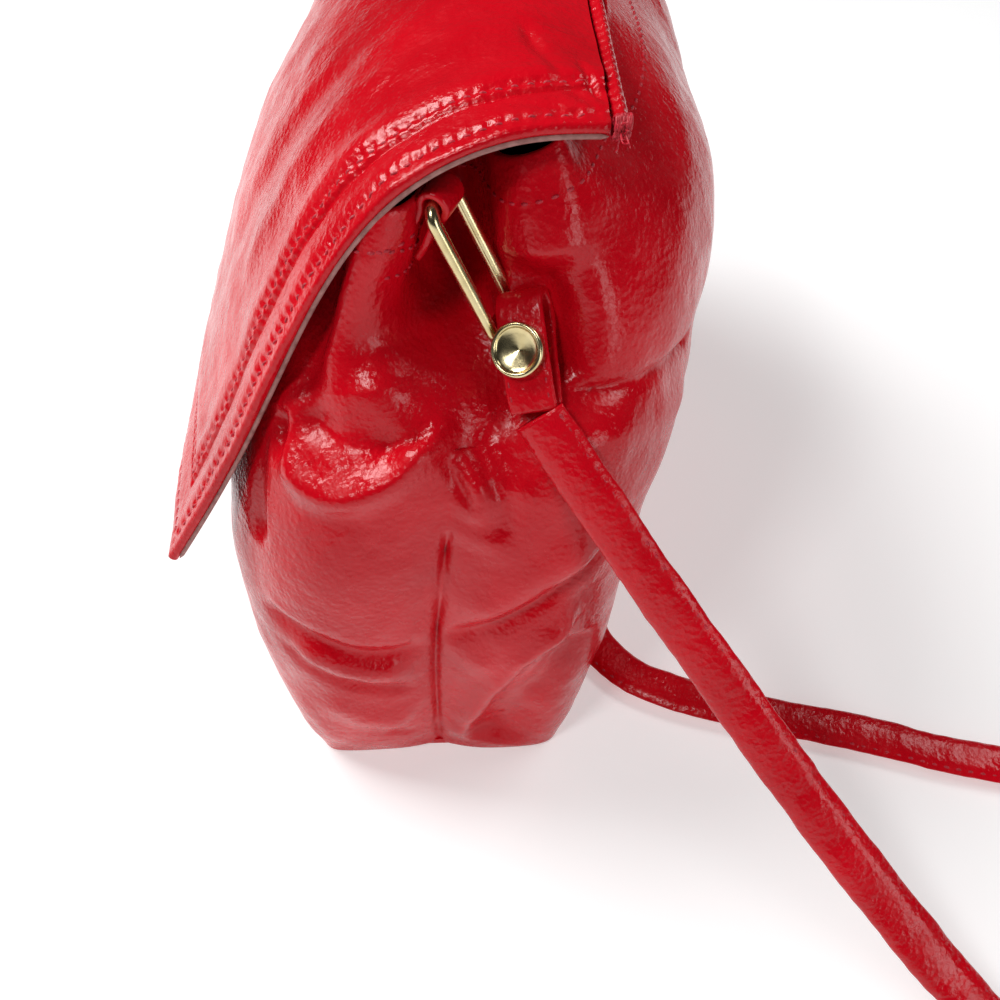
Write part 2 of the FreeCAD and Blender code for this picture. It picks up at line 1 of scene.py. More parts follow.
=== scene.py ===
"""Looks of the crossbody purse: a soft red leather body and flap, brass fittings, a loose strap.

Shapes are worked out in millimetres, in the row frame, and turned into metres as each mesh is
made. +X is one end of the bag, -Y the front, +Z up. The -X end repeats the +X end, mirrored.
"""
import itertools
import math
import bmesh
import bpy
import numpy as np
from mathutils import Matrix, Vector


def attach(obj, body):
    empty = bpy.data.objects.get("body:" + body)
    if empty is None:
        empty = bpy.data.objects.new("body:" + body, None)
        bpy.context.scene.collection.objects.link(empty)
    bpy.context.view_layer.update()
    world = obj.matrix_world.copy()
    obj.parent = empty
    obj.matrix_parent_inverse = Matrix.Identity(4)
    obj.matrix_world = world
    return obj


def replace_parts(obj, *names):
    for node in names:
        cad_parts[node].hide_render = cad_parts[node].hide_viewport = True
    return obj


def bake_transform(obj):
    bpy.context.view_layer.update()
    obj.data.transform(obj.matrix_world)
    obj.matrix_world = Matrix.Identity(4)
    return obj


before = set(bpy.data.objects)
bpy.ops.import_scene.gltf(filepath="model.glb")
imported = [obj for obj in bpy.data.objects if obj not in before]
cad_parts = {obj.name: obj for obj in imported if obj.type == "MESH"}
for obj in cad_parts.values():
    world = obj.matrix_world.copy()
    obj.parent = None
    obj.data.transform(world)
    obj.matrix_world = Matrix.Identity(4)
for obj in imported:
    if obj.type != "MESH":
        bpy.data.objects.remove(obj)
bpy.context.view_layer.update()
MM = 0.001
FINE = 1.0
LINKS = {1: "link_right", -1: "link_left"}
NAMES = {1: "right", -1: "left"}


def show(thing):
    bpy.context.scene.collection.objects.link(thing)


# ---------------------------------------------------------------- camera

def make_camera():
    """One end of the bag from above, as someone standing over it sees it."""
    camera = bpy.data.objects.new("camera", bpy.data.cameras.new("camera"))
    camera.data.lens = 38.6
    camera.data.sensor_width = 36
    camera.data.clip_start = 0.01
    down, turn = math.radians(46), math.radians(1.3)
    look = Vector((
        -math.cos(turn) * math.cos(down), math.sin(turn) * math.cos(down), -math.sin(down),
    ))
    camera.location = Vector((0.274, 0.013, 0.269))
    camera.rotation_euler = look.to_track_quat("-Z", "Y").to_euler()
    show(camera)
    bpy.context.scene.camera = camera


# ---------------------------------------------------------------- curves and noise

def ease(low, high, value):
    t = np.clip((value - low) / (high - low), 0, 1)
    return t * t * (3 - 2 * t)


def spline(knots, values, places):
    """A natural cubic spline through the values at the knots, read at the places."""
    x = np.asarray(knots, float)
    y = np.asarray(values, float).reshape(len(x), -1)
    gap = np.diff(x)
    matrix = np.eye(len(x))
    right = np.zeros_like(y)
    for k in range(1, len(x) - 1):
        matrix[k, k - 1:k + 2] = gap[k - 1], 2 * (gap[k - 1] + gap[k]), gap[k]
        right[k] = 6 * ((y[k + 1] - y[k]) / gap[k] - (y[k] - y[k - 1]) / gap[k - 1])
    bend = np.linalg.solve(matrix, right)
    at = np.asarray(places, float).ravel()
    k = np.clip(np.searchsorted(x, at) - 1, 0, len(x) - 2)
    h = gap[k][:, None]
    before, after = (at - x[k])[:, None], (x[k + 1] - at)[:, None]
    return (
        (bend[k] * after ** 3 + bend[k + 1] * before ** 3) / (6 * h)
        + (y[k] / h - bend[k] * h / 6) * after
        + (y[k + 1] / h - bend[k + 1] * h / 6) * before
    )


def distances(points):
    steps = np.linalg.norm(np.diff(points, axis=0), axis=1)
    return np.concatenate([[0], np.cumsum(steps)])


def through(points, count):
    """Evenly spaced places on a smooth curve through a few points."""
    points = np.asarray(points, float)
    knots = distances(points)
    dense = spline(knots, points, np.linspace(0, knots[-1], 8 * len(points)))
    run = distances(dense)
    even = np.linspace(0, run[-1], count)
    return np.stack([np.interp(even, run, dense[:, k]) for k in range(points.shape[1])], axis=1)


def unit(vectors):
    vectors = np.asarray(vectors, float)
    return vectors / np.maximum(np.linalg.norm(vectors, axis=-1, keepdims=True), 1e-9)


def noise(points, scale, seed):
    """Smooth values from -1 to 1 at each point, with lumps of about the scale's size."""
    place = points / scale + 13.7 * seed + 1000
    cell = np.floor(place).astype(np.int64)
    part = place - cell
    part = part * part * (3 - 2 * part)
    total = np.zeros(len(points))
    for corner in itertools.product((0, 1), repeat=3):
        at = cell + corner
        mixed = (at[:, 0] * 73856093) ^ (at[:, 1] * 19349663) ^ (at[:, 2] * 83492791)
        mixed = (mixed * 2654435761 + 12345) & 0xFFFFFF
        mixed = ((mixed >> 7) ^ mixed) & 0xFFFF
        weight = np.prod(np.where(corner, part, 1 - part), axis=1)
        total += weight * (mixed / 32767.5 - 1)
    return total


# ---------------------------------------------------------------- meshes

def grid_faces(rows, cols, closed=False):
    r, c = np.meshgrid(np.arange(rows - 1), np.arange(cols if closed else cols - 1), indexing="ij")
    a = r * cols + c
    b = r * cols + (c + 1) % cols
    return np.stack([a, b, b + cols, a + cols], axis=-1).reshape(-1, 4)


def make_object(name, points, faces, material, slot, flip=False):
    mesh = bpy.data.meshes.new(name)
    faces = np.asarray(faces)
    if flip:
        faces = faces[:, ::-1]
    mesh.from_pydata((np.asarray(points).reshape(-1, 3) * MM).tolist(), [], faces.tolist())
    mesh.shade_smooth()
    mesh.materials.append(material)
    thing = bpy.data.objects.new(name, mesh)
    show(thing)
    return thing


def join_parts(parts):
    """Several (points, faces) pairs as one pair."""
    points, faces, start = [], [], 0
    for some, quads in parts:
        some = np.asarray(some).reshape(-1, 3)
        points.append(some)
        faces.append(np.asarray(quads) + start)
        start += len(some)
    return np.concatenate(points), np.concatenate(faces)


def grid_normals(grid, closed=False):
    if closed:
        across = np.roll(grid, -1, axis=1) - np.roll(grid, 1, axis=1)
    else:
        across = np.gradient(grid, axis=1)
    along = np.gradient(grid, axis=0)
    return unit(np.cross(across, along))


# ---------------------------------------------------------------- body

# The body's outline at rising heights. Each row: height, half length, depth of the front and
# of the back, how square the corners are, then the end's front lobe, seam, shoulder and back
# lobe as (x, y) pairs.
LEVELS = np.array([
    (0, 112.5, 34, 33, 0.99, 112.5, -26, 112, -1.3, 112.5, 12, 112, 25),
    (8, 114, 38, 37, 0.97, 114.5, -27, 114, -0.8, 114.3, 13, 114, 26),
    (25, 117, 46, 43, 0.90, 118, -27, 117, 0.0, 117.5, 12, 116.5, 26),
    (55, 119, 53.5, 52, 0.82, 121, -26, 120, 1.2, 121, 14, 119.5, 28),
    (85, 119, 53, 60, 0.76, 122, -24, 120.5, 4.2, 121.5, 18, 119.5, 33),
    (105, 116, 48, 65, 0.74, 119, -21, 119, 6.2, 119, 20, 116.5, 35),
    (118, 111, 43, 67, 0.73, 113, -18, 116, 8.0, 114.5, 21, 112.5, 37),
    (127, 106, 39, 68.5, 0.72, 106, -15, 102, 9.5, 106, 20, 107.5, 35),
    (134, 103, 35, 69, 0.71, 102, -13, 86, 11, 99, 19, 105, 34),
    (145, 99, 27, 67, 0.70, 98, -9, 74, 11, 94, 18.5, 102, 33),
    (158, 94, 17, 59, 0.69, 95, -4, 68, 10.5, 89, 17.5, 97, 31),
    (174, 88, 6, 42, 0.67, 90, 0, 61, 10, 81, 16.5, 89, 27),
], float)
HEIGHTS = LEVELS[:, 0]
MOUTH_BACK = 174.0
MOUTH_SLOPE = 27 / 56
MOUTH_DEPTH = 41.0
FACING = 24.0
MOUTH_ROW = 7.5
BODY_HIGH = 165
WALL = 1.6
LINING_IN = 2.1
# The level whose corners space the columns, and the points repeated past each end there.
SPACING_LEVEL, SPARE = 4, 4


def steady(knots, values, places):
    """A smooth curve through the values that never overshoots them, read at the places."""
    x, y = np.asarray(knots, float), np.asarray(values, float)
    gap = np.diff(x)[:, None]
    slope = np.diff(y, axis=0) / gap
    same = slope[1:] * slope[:-1] > 0
    mean = np.where(same, 2 * slope[1:] * slope[:-1] / np.where(same, slope[1:] + slope[:-1], 1), 0)
    tilt = np.concatenate([slope[:1], mean, slope[-1:]])
    at = np.asarray(places, float).ravel()
    k = np.clip(np.searchsorted(x, at) - 1, 0, len(x) - 2)
    h = gap[k]
    t = ((at - x[k])[:, None]) / h
    return (
        y[k] * (1 + 2 * t) * (1 - t) ** 2 + tilt[k] * h * t * (1 - t) ** 2
        + y[k + 1] * t * t * (3 - 2 * t) + tilt[k + 1] * h * t * t * (t - 1)
    )


def outlines():
    """The body's control points at each height: heights x points x (x, y)."""
    (z, reach, front, back, square, front_x, front_y, seam_x, seam_y, shoulder_x, shoulder_y,
     back_x, back_y) = LEVELS.T
    near = 0.9 + 0.06 * np.exp(-z / 15) + 0.035 * ease(118, 140, z)
    zero = np.zeros(len(LEVELS))
    half = [
        (0.5 * reach, -0.98 * front),
        (near * reach, -square * front),
        (front_x, front_y),
        (seam_x, seam_y),
        (shoulder_x, shoulder_y),
        (back_x, back_y),
        (near * reach, square * back),
        (0.5 * reach, 0.98 * back),
    ]
    ring = [(zero, -front), *half, (zero, back), *((-x, y) for x, y in reversed(half))]
    return np.stack([np.stack(pair, axis=-1) for pair in ring], axis=1)


def around(columns):
    """How much each control point counts at each column, starting at the front's middle."""
    control = outlines()[SPACING_LEVEL]
    count = len(control)
    wrapped = np.arange(-SPARE, count + SPARE + 1)
    steps = np.linalg.norm(np.roll(control, -1, axis=0) - control, axis=1)
    knots = np.cumsum(np.concatenate([[0], steps[(wrapped % count)[:-1]]]))
    start, end = knots[SPARE], knots[SPARE + count]
    weights = np.eye(count)[wrapped % count]
    return spline(knots, weights, start + (end - start) * columns)


def body_place(weights, z):
    """Places on the body for a grid of heights, one column for each row of the weights."""
    control = outlines()
    flat = steady(HEIGHTS, control.reshape(len(HEIGHTS), -1), z)
    flat = flat.reshape(*z.shape, -1, 2)
    xy = np.einsum("rckd,ck->rcd", flat, weights)
    return np.concatenate([xy, z[..., None]], axis=-1)


def mouth_heights(weights):
    high = np.full((1, len(weights)), 160.0)
    for _ in range(25):
        place = body_place(weights, high)
        raised = ease(52, 76, np.abs(place[..., 0])) * (
            4.5 * ease(46, 30, place[..., 1]) + 6 * ease(18, 2, place[..., 1]))
        level = MOUTH_BACK - MOUTH_SLOPE * (MOUTH_DEPTH - place[..., 1]) + raised
        high = 0.5 * high + 0.5 * level
    return high[0]


# Each crease or ridge: its places on the +X end, how far it stands out (+) or sinks in (-),
# its half width, whether its line is sharp, and the share of it that fades at each end.
SEAM = [(112, -1, -8), (117, 0, 25), (120, 1, 55), (120, 4, 85), (117, 8, 118), (106, 10, 129)]
STROKES = [
    (SEAM, -2.2, 7.0, False, 0.1),
    # The front roll, from the mouth down to the pleat, and the hollow beside it.
    ([(108, -9, 119), (103, -7, 129), (97, -5, 140), (93, -3, 152), (91, 0, 164), (89, 3, 178)],
     4.2, 9.0, False, 0.12),
    ([(104, -27, 121), (100, -23, 134), (94, -19, 146), (90, -15, 158)], -3.5, 6.0, False, 0.2),
    # The crease under the roll, the bowl below it, and the rim of the pleat.
    ([(102, -25, 122), (107, -18, 119.5), (111, -9, 118.5), (113, -1, 120.5), (111, 5, 124)],
     -3.4, 2.0, True, 0.2),
    ([(103, -26, 121), (109, -18, 117.5), (113, -9, 117), (114, -2, 120)], -3.4, 3.6, False, 0.2),
    ([(101, -31, 120), (104, -30, 113), (107, -28, 107)], -3.0, 2.6, False, 0.25),
    ([(108, -22, 116), (112, -18, 113), (116, -12, 111.5)], -0.9, 1.3, False, 0.3),
    ([(113, 4, 118), (117, 7, 112), (119, 11, 104)], -1.3, 1.5, False, 0.25),
    ([(112, 9, 121), (116, 13, 114), (119, 17, 106)], -1.2, 1.7, False, 0.25),
    ([(118, 3, 100), (120, 10, 97), (121, 20, 97)], 0.9, 3.0, False, 0.3),
    ([(104, -31, 115), (111, -27, 110.5), (117, -20, 108.5), (118.5, -13, 110), (118, -7, 113),
      (116, -1, 117.5), (113, 4, 122.5), (109, 7, 127)], 3.0, 3.6, False, 0.22),
    ([(104, -26, 114), (110, -23, 109), (117, -17, 104), (119, -8, 104)], -1.2, 4.0, False, 0.3),
    ([(106, -21, 117), (110, -15, 115.5), (113, -9, 116)], 1.5, 1.0, False, 0.3),
    ([(104, -20, 124), (107, -14, 122.5), (110, -8, 121.5)], 1.2, 0.9, False, 0.3),
    # The dent where the strap end and its screw rest and swing.
    ([(115, 13, 109), (112, 15, 117), (107, 17, 125), (101, 19, 134), (97, 20, 143),
      (93, 20, 153)], -5.2, 8.0, False, 0.16),
    ([(109, 28, 128), (104, 28.5, 136), (100, 28, 144), (95, 26, 153)], -4.6, 7.0, False, 0.2),
    # The crease under the back lobe, and the folds that hang from it.
    ([(109, 13, 126), (109, 22, 127.5), (107, 36, 127), (96, 50, 123.5), (74, 63, 117)],
     -3.6, 1.7, True, 0.1),
    ([(114, 12, 119), (114, 25, 119), (109, 40, 117), (96, 54, 112), (78, 63, 106)],
     1.2, 5.0, False, 0.25),
    ([(115, 11, 121), (118, 12, 111), (120, 9, 99)], 1.8, 4.0, False, 0.3),
    ([(116, 17, 117), (119, 18, 106), (120, 15, 93)], -1.4, 3.0, False, 0.3),
    # Folds that run up and back from the seam.
    ([(118, 2, 58), (121, 9, 63), (122, 17, 69), (121, 28, 77), (117, 39, 85), (105, 52, 95)],
     -2.2, 2.6, False, 0.15),
    ([(119, 5, 70), (122, 14, 76), (122, 26, 85), (117, 40, 95)], 1.6, 5.0, False, 0.25),
    ([(118, 5, 47), (122, 14, 54), (121, 26, 64), (115, 38, 73)], 2.2, 5.5, False, 0.25),
    ([(112, 4, 4), (118, 12, 33), (121, 21, 54), (117, 35, 70)], 2.6, 3.2, False, 0.12),
    ([(112, 14, 4), (117, 25, 32), (113, 37, 56)], -3.6, 8.0, False, 0.1),
    # Folds that run down and forward from the seam.
    ([(118, 0, 60), (121, -8, 57), (122, -18, 59), (118, -30, 63), (109, -42, 65)],
     -1.9, 3.2, False, 0.2),
    ([(117, -3, 49), (121, -11, 50), (121, -21, 53), (115, -34, 58)], 1.8, 4.5, False, 0.25),
    ([(116, -3, 38), (120, -12, 41), (119, -25, 47), (110, -38, 56)], -1.8, 2.4, False, 0.2),
    ([(114, -6, 22), (118, -17, 28), (115, -29, 37)], 1.8, 6.0, False, 0.25),
    ([(113, -5, 12), (115, -15, 17), (113, -26, 26), (105, -38, 40)], -1.5, 2.2, False, 0.2),
    # The deep fold between the front and the end, under the flap.
    ([(97, -36, 128), (102, -38, 114), (107, -40, 98), (110, -41, 84)], -4.5, 3.4, False, 0.15),
    (SEAM, -3.0, 0.9, True, 0.04),
]


def sculpt(points, normals, strokes, side):
    """Moves points along their normals by each stroke's own profile."""
    moved = points.copy()
    for places, depth, width, sharp, fade in strokes:
        line = through(places, 40) * (side, 1, 1)
        reach = 3.2 * width if not sharp else 5 * width
        low, high = line.min(axis=0) - reach, line.max(axis=0) + reach
        near = np.flatnonzero(np.all((points > low) & (points < high), axis=1))
        if not len(near):
            continue
        some = points[near]
        best = np.full(len(near), 1e9)
        share = np.zeros(len(near))
        for k, (a, b) in enumerate(zip(line, line[1:])):
            way = b - a
            t = np.clip(((some - a) @ way) / (way @ way), 0, 1)
            away = np.linalg.norm(some - a - t[:, None] * way, axis=1)
            closer = away < best
            best[closer] = away[closer]
            share[closer] = (k + t[closer]) / (len(line) - 1)
        ends = ease(0, fade, share) * ease(0, fade, 1 - share)
        shape = np.exp(-best / width) if sharp else np.exp(-(best / width) ** 2)
        moved[near] += normals[near] * (depth * shape * ends)[:, None]
    return moved


def body_grid():
    """The outer skin's grid, rows from the base to the mouth, with every fold in it."""
    count = int(1000 * FINE)
    rows = int(240 * FINE)
    t = np.arange(count) / count
    # Closer columns round the ends, where the folds are.
    columns = t + 0.15 * np.sin(4 * math.pi * t) / math.pi
    weights = around(columns % 1)
    top = mouth_heights(weights)
    share = np.linspace(0, 1, rows)[:, None]
    z = 0.4 + share * (top[None, :] - 0.4)
    grid = body_place(weights, z)
    flat = grid.reshape(-1, 3)
    normals = -grid_normals(grid, closed=True).reshape(-1, 3)
    out = unit(flat * (1, 1, 0))
    if np.mean(np.sum(normals * out, axis=1)) < 0:
        normals = -normals
    moved = flat.copy()
    calm = ease(0, 14, flat[:, 2]) * ease(0, 20, (top[None, :] - z).reshape(-1))
    for scale, size, seed in ((46, 1.3, 1), (21, 0.75, 2), (9, 0.34, 3), (4, 0.13, 4)):
        moved += normals * (size * calm * noise(flat, scale, seed))[:, None]
    for side in (1, -1):
        moved = sculpt(moved, normals, STROKES, side)
    return moved.reshape(grid.shape)


def on_grid(grid, normals, places):
    """The nearest places on a grid, with the way it faces there."""
    flat, ways = grid.reshape(-1, 3), normals.reshape(-1, 3)
    found = [np.argmin(np.sum((flat - place) ** 2, axis=1)) for place in through(places, 24)]
    return flat[found], ways[found]


def rows_deep(grid, depth):
    """How many of the body's rows a depth below the mouth's edge takes."""
    return int(depth * len(grid) / BODY_HIGH)


def body_stitches(grid, normals, thread):
    """The row under the mouth's edge, and two rows that hold each tab."""
    row = len(grid) - 1 - rows_deep(grid, MOUTH_ROW)
    parts = [stitches(grid[row], normals[row], 2.3, 0.9, 0.40)]
    for line in ([(97, -7, 156), (93, -1, 154), (88, 3, 151)],
                 [(98, -7, 150), (94, -1, 148), (88, 4, 145)]):
        places, ways = on_grid(grid, normals, line)
        for side in (1, -1):
            parts.append(stitches(places * (side, 1, 1), ways * (side, 1, 1), 2.0, 0.8, 0.42))
    seam = make_object("body_stitches", *join_parts(parts), thread, "red_leather")
    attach(seam, "body")


def make_bag_leather(grid, normals, leather):
    """The skin, turned under at the base, over the mouth's lip and down as the facing."""
    foot = grid[:1] - normals[:1] * (0.5, 0.5, 0) + (0, 0, -0.3)
    under = grid[:1] * (0.97, 0.9, 1) + (0, 0, -0.3)
    flat_normal = unit(normals[-1:] * (1, 1, 0))
    lip = [
        grid[-1:] + (0, 0, 0.6) - 0.35 * flat_normal,
        grid[-1:] + (0, 0, 1.0) - 0.5 * WALL * flat_normal,
        grid[-1:] + (0, 0, 0.6) - (WALL - 0.35) * flat_normal,
    ]
    inside = grid - WALL * normals
    facing = inside[-1:-rows_deep(grid, FACING):-2]
    skin = np.concatenate([under, foot, grid, *lip, facing])
    faces = grid_faces(len(skin), grid.shape[1], closed=True)
    bag = make_object("bag_leather", skin, faces, leather, "red_leather")
    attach(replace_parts(bag, "front_panel", "back_panel", "front_facing", "back_facing"), "body")


def make_bag_lining(grid, normals, cloth):
    """The cloth inside the skin, from the facing's edge down and across the floor."""
    skin = (grid - LINING_IN * normals)[2:len(grid) - rows_deep(grid, FACING) + 6:2]
    skin[0, :, 2] = 5.0
    floor = [skin[:1] * (f, f, 1) for f in (0.02, 0.5, 0.8, 0.95)]
    skin = np.concatenate([*floor, skin])
    faces = grid_faces(len(skin), grid.shape[1], closed=True)
    lining = make_object("bag_lining", skin, faces, cloth, "lining_cloth", flip=True)
    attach(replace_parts(lining, "lining"), "body")


def make_body(leather, cloth, thread):
    grid = body_grid()
    normals = grid_normals(grid, closed=True)
    if np.mean(normals[..., 0] * grid[..., 0]) < 0:
        normals = -normals
    make_bag_leather(grid, normals, leather)
    make_bag_lining(grid, normals, cloth)
    body_stitches(grid, normals, thread)


# ---------------------------------------------------------------- flap

# The flap's profile at its middle and at its sides, as (y, z) pairs from the hinge down.
MIDDLE = [
    (36.9, 178.4), (24, 181.3), (6, 179), (-12, 170), (-30, 153.5), (-45.5, 131), (-57, 105),
    (-67, 76),
]
SIDE = [
    (36.9, 178.4), (22, 178), (6, 173), (-6, 164), (-17, 149.5), (-28, 130), (-42.5, 105),
    (-62, 76),
]
FLAP_END, FLAP_WAIST = 108.0, 55.0
BAND = 12.0
FLAP_THICK = 2.6
# The two stitch rows' distances from the edge, and the run of one pucker along them.
EDGE_ROW, SEAM_ROW = 2.6, BAND + 2.0
PUCKER = 3.1
# How far the turned edge stands out, and the raw edge beside it with its radius.
EDGE_OUT, RAW_OUT, RAW_RADIUS = 1.1, 0.75, 0.55


def flap_share(x):
    """How far the flap's profile has gone from the middle's to the side's at x."""
    knots = [-FLAP_END, -FLAP_WAIST, 0, FLAP_WAIST, FLAP_END]
    return spline(knots, [1, 0.25, 0, 0.25, 1], x)[:, 0]


def flap_half(y):
    return 92 + 14 * (44 - y) / 124


def flap_point(s, t):
    """Places on the flap's outer face: s from hinge to lower edge, t across from -1 to 1."""
    middle, side = np.array(MIDDLE), np.array(SIDE)
    run = distances(0.5 * (middle + side))
    run /= run[-1]
    a = spline(run, middle, s)
    b = spline(run, side, s)
    half = flap_half(b[:, 0])
    x = t * half
    share = flap_share(x)[:, None]
    yz = a + share * (b - a)
    return np.column_stack([x, yz])


# The gathers that run into the seam's end, and the long soft ridges beside the near edge.
FLAP_STROKES = [
    ([(91, 36, 178.4), (83, 31, 179.5), (70, 26, 180.8), (52, 22, 181)], -1.3, 1.5, False, 0.25),
    ([(90, 37, 178.4), (82, 35, 179), (70, 32.5, 180)], -1.1, 1.0, False, 0.3),
    ([(92, 34, 178.3), (89, 26, 178.3), (86, 16, 177)], -0.9, 1.3, False, 0.3),
    ([(88, 33.5, 178.8), (78, 28.5, 180), (64, 24, 181)], 1.0, 1.6, False, 0.3),
    ([(75, 10, 176.5), (78, -6, 167), (80, -20, 150), (82, -34, 128)], 0.8, 4.0, False, 0.3),
    ([(58, 4, 178), (60, -14, 166), (63, -30, 145), (67, -46, 118)], 0.9, 6.0, False, 0.3),
    ([(40, 0, 178), (43, -18, 164), (46, -36, 142), (50, -52, 112)], -0.9, 6.0, False, 0.3),
]


def read_grid(grid, s, t):
    """Places on a grid at shares s down and t across, t from -1 to 1."""
    rows, cols = grid.shape[:2]
    r = np.clip(s * (rows - 1), 0, rows - 1.001)
    c = np.clip((t + 1) / 2 * (cols - 1), 0, cols - 1.001)
    a, b = r.astype(int), c.astype(int)
    u, v = (r - a)[:, None], (c - b)[:, None]
    return ((1 - u) * ((1 - v) * grid[a, b] + v * grid[a, b + 1])
            + u * ((1 - v) * grid[a + 1, b] + v * grid[a + 1, b + 1]))


def flap_lift(grid, across, length):
    """How far the skin stands off the plain flap: the border, its grooves and its puckers."""
    to_side = (1 - np.abs(across)) * flap_half(grid[..., 1])
    to_low = (length[-1] - length) * np.ones_like(across)
    edge = np.minimum(to_side, to_low)
    seam = edge - BAND
    lift = 0.55 * ease(-0.4, 0.4, seam) - 0.9 * np.exp(-(seam / 0.7) ** 2)
    lift -= 0.5 * np.exp(-((seam - 2.4) / 1.1) ** 2)
    lift -= 0.35 * np.exp(-((edge - 2.6) / 1.0) ** 2)
    lift += 0.5 * np.exp(-((edge - 5.5) / 3.5) ** 2) + 0.45 * np.exp(-((seam - 6) / 3.5) ** 2)
    run = np.where(to_side < to_low, length * np.ones_like(across), grid[..., 0])
    for middle, width in ((EDGE_ROW, 1.7), (SEAM_ROW, 1.5)):
        lift += 0.17 * np.sin(2 * math.pi * run / PUCKER) * np.exp(-((edge - middle) / width) ** 2)
    return lift.ravel()


def flap_skin(grid, normals, lift):
    """The flap's outer face, with its lumps, gathers and ridges."""
    flat, ways = grid.reshape(-1, 3), normals.reshape(-1, 3)
    for scale, size, seed in ((30, 0.6, 5), (12, 0.38, 6), (5, 0.16, 7)):
        lift = lift + size * noise(flat, scale, seed)
    moved = flat + ways * lift[:, None]
    for side in (1, -1):
        moved = sculpt(moved, ways, FLAP_STROKES, side)
    return moved.reshape(grid.shape)


def turned_edge(upper, lower, way):
    """A half round from the outer face's edge to the underside's."""
    return np.stack([
        upper + way * EDGE_OUT * math.sin(angle) + (lower - upper) * (0.5 * (1 - math.cos(angle)))
        for angle in np.linspace(0, math.pi, 7)
    ])


def make_flap_leather(outer, under, side_way, low_way, leather):
    rows, cols = outer.shape[:2]
    left = turned_edge(outer[:, 0], under[:, 0], -side_way)
    right = turned_edge(outer[:, -1], under[:, -1], side_way)
    low = turned_edge(outer[-1], under[-1], low_way)
    points, faces = join_parts([
        (outer, grid_faces(rows, cols)),
        (under, grid_faces(rows, cols)[:, ::-1]),
        (left, grid_faces(len(left), rows)),
        (right, grid_faces(len(right), rows)[:, ::-1]),
        (low, grid_faces(len(low), cols)),
    ])
    flap = make_object("flap_leather", points, faces, leather, "red_leather")
    weld(flap, 0.02)
    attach(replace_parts(flap, "flap_panel", "flap_border", "flap_stiffener"), "flap")


def make_flap_inside(grid, normals, cloth):
    rows, cols = grid.shape[:2]
    keep = slice(3, rows - int(5 * FINE)), slice(int(4 * FINE), cols - int(4 * FINE))
    face = (grid - normals * (FLAP_THICK + 0.25))[keep]
    back = face + normals[keep] * 0.6
    faces = grid_faces(*face.shape[:2])
    points, faces = join_parts([(face, faces[:, ::-1]), (back, faces)])
    lining = make_object("flap_inside", points, faces, cloth, "lining_cloth")
    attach(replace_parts(lining, "flap_lining"), "flap")


def make_flap_stitches(outer, low_y, total, thread):
    """Both rows, each down the two sides and along the lower edge."""
    out = grid_normals(outer)
    out *= np.sign(out[len(out) // 2, out.shape[1] // 2, 2])
    low_half = flap_half(low_y)
    rows = []
    for margin in (EDGE_ROW, SEAM_ROW):
        low_share = 1 - margin / total
        down = np.linspace(0.02, low_share, 400)
        half = flap_half(flap_point(down, np.ones_like(down))[:, 1])
        for side in (1, -1):
            rows.append((down, side * (1 - margin / half)))
        wide = np.linspace(-1 + margin / low_half, 1 - margin / low_half, 600)
        rows.append((np.full(600, low_share), wide))
    parts = [stitches(read_grid(outer, s, t), read_grid(out, s, t), 2.2, 0.9, 0.40)
             for s, t in rows]
    seam = make_object("flap_stitches", *join_parts(parts), thread, "red_leather")
    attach(seam, "flap")


def make_raw_edge(under, normals, side_way, low_way, raw_leather):
    """The raw leather that backs the border, a thin pale line under the turned edge."""
    low_edge = under[-1] + low_way * RAW_OUT
    parts = [
        tube(under[::3, 0] - side_way[::3] * RAW_OUT - normals[::3, 0] * 0.1, RAW_RADIUS),
        tube(under[::3, -1] + side_way[::3] * RAW_OUT - normals[::3, -1] * 0.1, RAW_RADIUS),
        tube(low_edge[::3] - normals[-1, ::3] * 0.1, RAW_RADIUS),
    ]
    edge = make_object("flap_raw_edge", *join_parts(parts), raw_leather, "red_leather")
    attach(edge, "flap")


def make_flap(leather, cloth, thread, raw_leather):
    cols, rows = int(420 * FINE), int(330 * FINE)
    down, across = np.meshgrid(np.linspace(0, 1, rows), np.linspace(-1, 1, cols), indexing="ij")
    grid = flap_point(down.ravel(), across.ravel()).reshape(rows, cols, 3)
    normals = grid_normals(grid)
    if normals[rows // 2, cols // 2, 2] < 0:
        normals = -normals
    length = distances(grid[:, cols // 2])[:, None]
    outer = flap_skin(grid, normals, flap_lift(grid, across, length))
    under = grid - normals * FLAP_THICK
    side_way = np.tile((1.0, 0.0, 0.0), (rows, 1))
    low_way = unit(grid[-1] - grid[-2])
    make_flap_leather(outer, under, side_way, low_way, leather)
    make_flap_inside(grid, normals, cloth)
    make_flap_stitches(outer, grid[-1, 0, 1], length[-1, 0], thread)
    make_raw_edge(under, normals, side_way, low_way, raw_leather)


def weld(thing, distance):
    mesh = bmesh.new()
    mesh.from_mesh(thing.data)
    bmesh.ops.remove_doubles(mesh, verts=mesh.verts, dist=distance * MM)
    bmesh.ops.recalc_face_normals(mesh, faces=mesh.faces)
    mesh.to_mesh(thing.data)
    mesh.free()
    thing.data.shade_smooth()


# ---------------------------------------------------------------- strap

